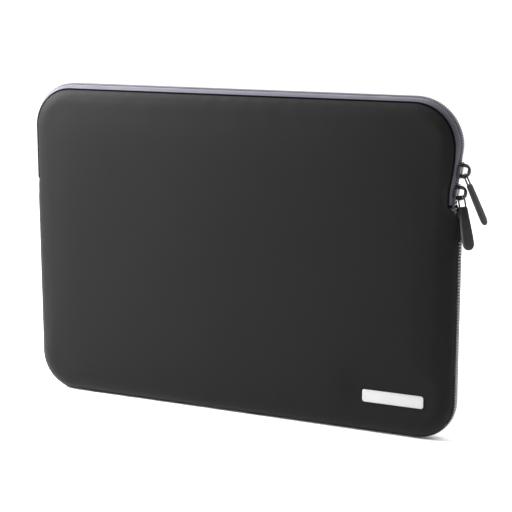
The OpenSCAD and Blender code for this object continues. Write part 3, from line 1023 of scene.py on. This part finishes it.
# ---------------------------------------------------------------- side seam band and its overstitch
def seam_band():
    s1 = S_RIGHT_ZIP
    s = np.linspace(-s1 - 8.0, s1 + 8.0, 2 * int((s1 + 8.0) / 2.4))
    p, n = outline(s)
    w = 3.5
    out = np.array([(-1.15, -w + 0.1), (-0.75, -w), (-0.5, -w + 0.25), (-0.36, -2.2), (-0.34, -1.0), (-0.36, 0), (-0.34, 1.0), (-0.36, 2.2), (-0.5, w - 0.25), (-0.75, w), (-1.15, w - 0.1), (-1.18, 1.5), (-1.18, -1.5)])
    rings = np.zeros((len(s), len(out), 3))
    pu = np.repeat(out[None, :, 0], len(s), 0) + 0.03 * np.cos(2 * math.pi * s / 7.0)[:, None] * (out[None, :, 0] > -0.6)
    # the band's two ends sink into the recess at the end of the zip
    pu = pu - 2.8 * smooth((np.abs(s) - s1 + 1.0) / 9.0)[:, None]
    rings[..., 0] = p[:, None, 0] + n[:, None, 0] * pu
    rings[..., 2] = p[:, None, 1] + n[:, None, 1] * pu
    rings[..., 1] = out[None, :, 1]
    v, f = tube_rings(rings)
    b = Build()
    b.add(v, f)
    # looper thread, to and fro across the butted edges, and a needle row on each side
    s2 = s1 - 9.5
    per = 2.35
    k = int(2 * s2 / per)
    key = []
    for i in range(k):
        a = -s2 + i * per
        key += [(a, -3.3, -0.62), (a + 0.04, -3.1, -0.3), (a + 0.09, -1.6, -0.14), (a + 0.14, -0.35, -0.22), (a + 0.27, -0.05, -0.85),
                (a + 1.04, 0.05, -0.85), (a + 1.17, 0.35, -0.22), (a + 1.22, 1.6, -0.14), (a + 1.27, 3.1, -0.3), (a + 1.31, 3.3, -0.62), (a + 1.62, 2.8, -1.0), (a + 2.1, -2.8, -1.0)]
    key = np.array(key)
    pp, nn = outline(key[:, 0])
    pts = np.stack([pp[:, 0] + nn[:, 0] * key[:, 2], key[:, 1], pp[:, 1] + nn[:, 1] * key[:, 2]], 1)
    up = np.stack([nn[:, 0], np.zeros(len(nn)), nn[:, 1]], 1)
    vv, ff = tube(pts, 0.36, 8, up=up)
    vv = np.array(vv, float)
    vv[:, 2] = np.maximum(vv[:, 2], -0.25)         # flattened where the sleeve stands on it
    b.add(vv, ff, mat=1)
    for row in (-1.25, 1.25):
        for a in np.arange(-s2, s2, per):
            q = a + (0.28 if row < 0 else -0.89) + np.array([0.14, 0.36, 0.9, 1.44, 1.66])
            pp, nn = outline(q)
            h = np.array([-0.5, -0.3, -0.24, -0.3, -0.5])
            pts = np.stack([pp[:, 0] + nn[:, 0] * h, np.full(5, row), pp[:, 1] + nn[:, 1] * h], 1)
            vv, ff = tube(pts, 0.2, 6)
            b.add(vv, ff, mat=2)
    ob = b.make("side_seam_overstitch")
    paint(ob, M_SEAM, M_THREAD, M_DITCH)
    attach(ob, "sleeve")
    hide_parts("side_seam")


seam_band()


# ---------------------------------------------------------------- the zip's ends
def from_local(l, pts, mirror=False):
    """(n, v, down) millimetres about the chain at distance l below the fold line, to x, y, z."""
    pts = np.asarray(pts, float)
    x = HW - 1 + pts[:, 0] * math.cos(LEAN) - (l + pts[:, 2]) * math.sin(LEAN)
    z = FOLD - pts[:, 0] * math.sin(LEAN) - (l + pts[:, 2]) * math.cos(LEAN)
    if mirror:
        x = -x
    return np.stack([x, -pts[:, 1], z], 1)


def rounded_block(n0, n1, w, l0, l1, r, mirror, dome=0.0):
    """A flat padded tab: rounded outline in (v, down), soft edges in n."""
    rings = []
    for d, h in ((r * 0.9, 0.0), (r * 0.3, 0.25), (0, 0.5), (r * 0.3, 0.75), (r * 0.9, 1.0), (r * 2.2, 1.0)):
        a, bb = w - d, (l1 - l0) / 2 - d
        ring = []
        for t in np.linspace(0, 2 * math.pi, 32, endpoint=False):
            c, s_ = math.cos(t), math.sin(t)
            e = 0.35
            y = a * math.copysign(abs(c) ** e, c)
            q = bb * math.copysign(abs(s_) ** e, s_)
            nn = n0 + (n1 - n0) * h + (dome if d > r * 2 else 0)
            ring.append((nn, y, q + (l0 + l1) / 2))
        rings.append(from_local(0, ring, mirror))
    return tube_rings(np.array(rings))


b = Build()
for mir in (False, True):
    v, f = rounded_block(-1.3, 1.05, 7.1, CHAIN_L + 0.35, CHAIN_L + 11.1, 0.7, mir, 0.1)
    b.add(v, f)
tabs = b.make("zip_end_fabric_tabs")
paint(tabs, M_BIND)
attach(tabs, "sleeve")
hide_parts("zip_end_tabs")

b = Build()
for mir in (False, True):
    wraps = np.linspace(-6.5, 6.5, 34)
    key = []
    for i, y in enumerate(wraps):
        a, c = (1.25, 2.55) if i % 2 == 0 else (2.55, 1.25)
        key += [(1.28, y, a), (1.55, y + 0.1, a + (c - a) * 0.2), (1.6, y + 0.2, (a + c) / 2), (1.55, y + 0.3, a + (c - a) * 0.8), (1.28, y + 0.38, c)]
    pts = from_local(CHAIN_L, key, mir)
    vv, ff = tube(pts, 0.17, 6, up=(1, 0, 0.1))
    b.add(vv, ff)
tacks = b.make("bar_tack_threads")
paint(tacks, M_TACK)
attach(tacks, "sleeve")
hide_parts("bar_tacks")

b = Build()
for mir in (False, True):
    v, f = rounded_block(1.05, 1.95, 3.15, CHAIN_L - 3.15, CHAIN_L - 1.45, 0.28, mir, 0.0)
    b.add(v, f)
stops = b.make("zip_end_crimps")
paint(stops, M_STOP)
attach(stops, "sleeve")
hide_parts("zip_end_stops")


# ---------------------------------------------------------------- sliders: the cast bodies with their edges softened
def softened(node_name, name, voxel, rounds):
    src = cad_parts[node_name]
    me = src.data.copy()
    me.transform(src.matrix_world)
    ob = bpy.data.objects.new(name, me)
    bpy.context.scene.collection.objects.link(ob)
    me.materials.clear()
    bm = bmesh.new()
    bm.from_mesh(me)
    bmesh.ops.remove_doubles(bm, verts=bm.verts, dist=1e-6)
    bm.to_mesh(me)
    bm.free()
    r = ob.modifiers.new("remesh", "REMESH")
    r.mode = "VOXEL"
    r.voxel_size = voxel * MM
    bake_modifiers(ob)
    # the crown is cast fuller than the plates: its metal grows 0.42 mm outward above the top plate
    me = ob.data
    n = len(me.vertices)
    co = np.empty(n * 3)
    me.vertices.foreach_get("co", co)
    co = co.reshape(-1, 3)
    nr = np.empty(n * 3)
    me.vertices.foreach_get("normal", nr)
    nr = nr.reshape(-1, 3)
    u = (co[:, 0] / MM - (HW - 1)) * math.cos(LEAN) + (FOLD - co[:, 2] / MM) * math.sin(LEAN)
    co = co + nr * (0.42 * MM * smooth((u - 2.5) / 0.9))[:, None]
    me.vertices.foreach_set("co", co.ravel())
    me.update()
    s = ob.modifiers.new("soft", "SMOOTH")
    s.factor = 0.6
    s.iterations = rounds
    bake_modifiers(ob)
    return ob


for n_, body in (("slider_upper_body", "upper_slider"), ("slider_lower_body", "lower_slider")):
    ob = softened(n_, n_.replace("_body", "_cast"), 0.2, 7)
    paint(ob, M_SLIDER)
    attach(ob, body)
    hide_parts(n_)


# ---------------------------------------------------------------- pulls
def pull_frame(at, lean, twist):
    m = Matrix.Translation(((HW - 1) * MM, 0, FOLD * MM)) @ Matrix.Rotation(LEAN, 4, "Y") @ Matrix.Translation((4.8 * MM, 0, (-at - 2.2) * MM))
    return m @ Matrix.Rotation(-LEAN, 4, "Y") @ Matrix.Rotation(math.radians(-twist), 4, "Z") @ Matrix.Rotation(math.radians(-lean), 4, "Y")


def to_world(pts, m):
    a = np.array(m)
    return (np.asarray(pts, float) * MM @ a[:3, :3].T + a[:3, 3]) / MM


def wire_link(name, at, lean, twist, body, node_name):
    legs, low, r = 3.0, 9.8, 1.15
    pts = []
    for cy, cz, a0 in ((legs - r, -r, 0), (-(legs - r), -r, 90), (-(legs - r), -low + r, 180), (legs - r, -low + r, 270)):
        for a in np.linspace(a0, a0 + 90, 8):
            pts.append((0, cy + r * math.cos(math.radians(a)), cz + r * math.sin(math.radians(a))))
        # a straight run to the next bend
        nxt = {0: (-(legs - r), 0.0), 90: (-legs, -low + r), 180: (legs - r, -low), 270: (legs, -r)}[a0]
        last = pts[-1]
        for t in (0.25, 0.5, 0.75):
            pts.append((0, last[1] + (nxt[0] - last[1]) * t, last[2] + (nxt[1] - last[2]) * t))
    v, f = tube(to_world(pts, pull_frame(at, lean, twist)), 0.64, 12, up=tuple(pull_frame(at, lean, twist).to_3x3() @ Vector((1, 0, 0))), closed=True)
    b = Build()
    b.add(v, f)
    ob = b.make(name)
    paint(ob, M_WIRE)
    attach(ob, body)
    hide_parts(node_name)


def rubber_grip(name, at, lean, twist, body, node_name):
    top, length, wide, th = 7.4, 32.0, 5.2, 1.75
    t = np.concatenate([0.2 + 1.4 * (1 - np.cos(np.linspace(0, math.pi / 2, 7))), np.linspace(1.6, 26.8, 18)[1:], 26.8 + 5.17 * np.sin(np.linspace(0, math.pi / 2, 12))[1:]])
    rings = []
    for q in t:
        if q <= 26.8:
            a = 3.85 + (wide - 3.85) * smooth(np.array((q - 1) / 25.8)) ** 0.8
            a = float(a)
        else:
            a = math.sqrt(max(wide ** 2 - (q - 26.8) ** 2, 0.01))
        e1 = max(0.0, (1.6 - q) / 1.5)
        e2 = max(0.0, (q - 29.4) / 2.62)
        soft = math.sqrt(max(0.02, 1 - e1 ** 2)) * math.sqrt(max(0.012, 1 - e2 ** 2))
        a *= math.sqrt(max(0.2, 1 - 0.45 * e1 ** 2))
        bb = th * soft
        # slim waist in thickness, fuller towards the wide end
        bb *= 0.93 + 0.07 * math.sin(math.pi * min(1, q / 30))
        ang = np.linspace(0, 2 * math.pi, 40, endpoint=False)
        c, s_ = np.cos(ang), np.sin(ang)
        x = bb * np.sign(c) * np.abs(c) ** (2 / 4.2)
        y = a * np.sign(s_) * np.abs(s_) ** (2 / 3.6)
        # faces slightly crowned
        x = x * (0.86 + 0.14 * (1 - (np.abs(y) / a) ** 2.0))
        rings.append(np.stack([x, y, np.full(40, -top - q)], 1))
    v, f = tube_rings(np.array(rings))
    v = to_world(v, pull_frame(at, lean, twist))
    b = Build()
    b.add(v, f)
    ob = b.make(name)
    s = ob.modifiers.new("sub", "SUBSURF")
    s.levels = 1
    s.render_levels = 1
    bake_modifiers(ob)
    paint(ob, M_RUBBER)
    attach(ob, body)
    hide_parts(node_name)


UP = (17.2, 25.0, 0.0)
LOW = (33.4, 15.0, 30.0)
wire_link("upper_pull_wire", *UP, "upper_pull", "pull_upper_link")
wire_link("lower_pull_wire", *LOW, "lower_pull", "pull_lower_link")
rubber_grip("upper_pull_rubber", *UP, "upper_pull", "pull_upper_grip")
rubber_grip("lower_pull_rubber", *LOW, "lower_pull", "pull_lower_grip")


# ---------------------------------------------------------------- badge
def badge():
    lo, hi = box("badge_plate")
    cx, cz = (lo[0] + hi[0]) / 2, (lo[2] + hi[2]) / 2
    hx, hz = (hi[0] - lo[0]) / 2, (hi[2] - lo[2]) / 2
    back, front = -T2 - 0.05, lo[1]
    b = Build()
    rings = []
    r0 = 1.9
    for d, y in ((0.12, back), (0.0, back - 0.08), (0.0, front + 0.28), (0.09, front + 0.1), (0.28, front), (0.75, front), (0.86, front + 0.07), (1.0, front + 0.1), (1.14, front + 0.07), (1.25, front), (1.6, front)):
        ring = []
        r = max(r0 - d, 0.3)
        for sx, sz, a0 in ((1, 1, 0), (-1, 1, 90), (-1, -1, 180), (1, -1, 270)):
            for a in np.linspace(a0, a0 + 90, 9):
                ring.append((cx + sx * (hx - d - r) + r * math.cos(math.radians(a)), y, cz + sz * (hz - d - r) + r * math.sin(math.radians(a))))
        rings.append(ring)
    v, f = tube_rings(np.array(rings))
    b.add(v, f)
    # two prongs through the cloth
    for sx in (-18, 18):
        rr = []
        for y, w in ((back + 0.02, 1.0), (back + 2.0, 0.95), (-T2 + 2.58, 0.6)):
            rr.append([(cx + sx - w, y, cz - 0.22), (cx + sx + w, y, cz - 0.22), (cx + sx + w, y, cz + 0.22), (cx + sx - w, y, cz + 0.22)])
        v, f = tube_rings(np.array(rr))
        b.add(v, f)
    ob = b.make("blank_badge")
    w = ob.modifiers.new("edge", "EDGE_SPLIT")
    w.split_angle = math.radians(50)
    bake_modifiers(ob)
    bm = bmesh.new()
    bm.from_mesh(ob.data)
    bmesh.ops.remove_doubles(bm, verts=bm.verts, dist=1e-7)
    bm.to_mesh(ob.data)
    bm.free()
    for poly in ob.data.polygons:
        poly.use_smooth = len(poly.vertices) == 4
    paint(ob, M_BADGE)
    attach(ob, "sleeve")
    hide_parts("badge_plate")


badge()
paint(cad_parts["badge_backing"], M_STOP)

# ---------------------------------------------------------------- floor, light, camera
fm = bpy.data.materials.new("floor_paper")
fm.use_nodes = True
nt = fm.node_tree
fb = nt.nodes["Principled BSDF"]
fb.inputs["Roughness"].default_value = 0.9
fb.inputs["Specular IOR Level"].default_value = 0.1
fb.inputs["Base Color"].default_value = (0.93, 0.93, 0.93, 1)
bm = bmesh.new()
bmesh.ops.create_grid(bm, x_segments=2, y_segments=2, size=6.0)
me = bpy.data.meshes.new("floor")
bm.to_mesh(me)
bm.free()
floor = bpy.data.objects.new("floor", me)
floor.location = (0, 0, -0.0003)
me.materials.append(fm)
bpy.context.scene.collection.objects.link(floor)

world = bpy.context.scene.world or bpy.data.worlds.new("studio")
bpy.context.scene.world = world
world.use_nodes = True
bg = world.node_tree.nodes["Background"]
bg.inputs[0].default_value = (1, 1, 1, 1)
# a white sweep behind and overhead, a dimmer room in front
wn = world.node_tree
wc = wn.nodes.new("ShaderNodeTexCoord")
ws = wn.nodes.new("ShaderNodeSeparateXYZ")
wn.links.new(wc.outputs["Generated"], ws.inputs[0])
wm = wn.nodes.new("ShaderNodeMapRange")
wm.interpolation_type = "SMOOTHSTEP"
wm.inputs["From Min"].default_value = -0.35
wm.inputs["From Max"].default_value = 0.30
wm.inputs["To Min"].default_value = 0.12
wm.inputs["To Max"].default_value = 1.05
wn.links.new(ws.outputs[1], wm.inputs["Value"])
wt = wn.nodes.new("ShaderNodeMapRange")
wt.interpolation_type = "SMOOTHSTEP"
wt.inputs["From Min"].default_value = 0.45
wt.inputs["From Max"].default_value = 0.85
wt.inputs["To Min"].default_value = 0.0
wt.inputs["To Max"].default_value = 1.3
wn.links.new(ws.outputs[2], wt.inputs["Value"])
wa = wn.nodes.new("ShaderNodeMath")
wa.operation = "ADD"
wn.links.new(wm.outputs[0], wa.inputs[0])
wn.links.new(wt.outputs[0], wa.inputs[1])
wn.links.new(wa.outputs[0], bg.inputs[1])


def area(name, loc, aim, size, power, color=(1, 1, 1)):
    ld = bpy.data.lights.new(name, "AREA")
    ld.shape = "RECTANGLE"
    ld.size, ld.size_y = size
    ld.energy = power
    ld.color = color
    ob = bpy.data.objects.new(name, ld)
    bpy.context.scene.collection.objects.link(ob)
    ob.location = loc
    ob.rotation_euler = (Vector(aim) - Vector(loc)).to_track_quat("-Z", "Y").to_euler()


area("key_top", (-0.15, 0.10, 0.95), (0.0, 0.0, 0.2), (0.9, 0.6), 4.0)
area("soft_left", (-0.50, -0.25, 0.46), (-0.14, 0, 0.19), (0.3, 0.35), 19.0)
bpy.context.scene.view_settings.view_transform = "Standard"

AZ, EL = math.radians(25.0), math.radians(11.3)
back = Vector((math.sin(AZ) * math.cos(EL), -math.cos(AZ) * math.cos(EL), math.sin(EL)))
right = Vector((math.cos(AZ), math.sin(AZ), 0))
aim = right * 0.0149 + Vector((0, 0, 0.1253))
cd = bpy.data.cameras.new("camera")
cam = bpy.data.objects.new("camera", cd)
bpy.context.scene.collection.objects.link(cam)
cd.sensor_width = 36
cd.lens = 36 * 1401.7 / 512
cd.clip_start, cd.clip_end = 0.05, 30
cam.location = aim + back * 1.0915
cam.rotation_euler = (-back).to_track_quat("-Z", "Y").to_euler()
bpy.context.scene.camera = cam

bpy.context.view_layer.update()
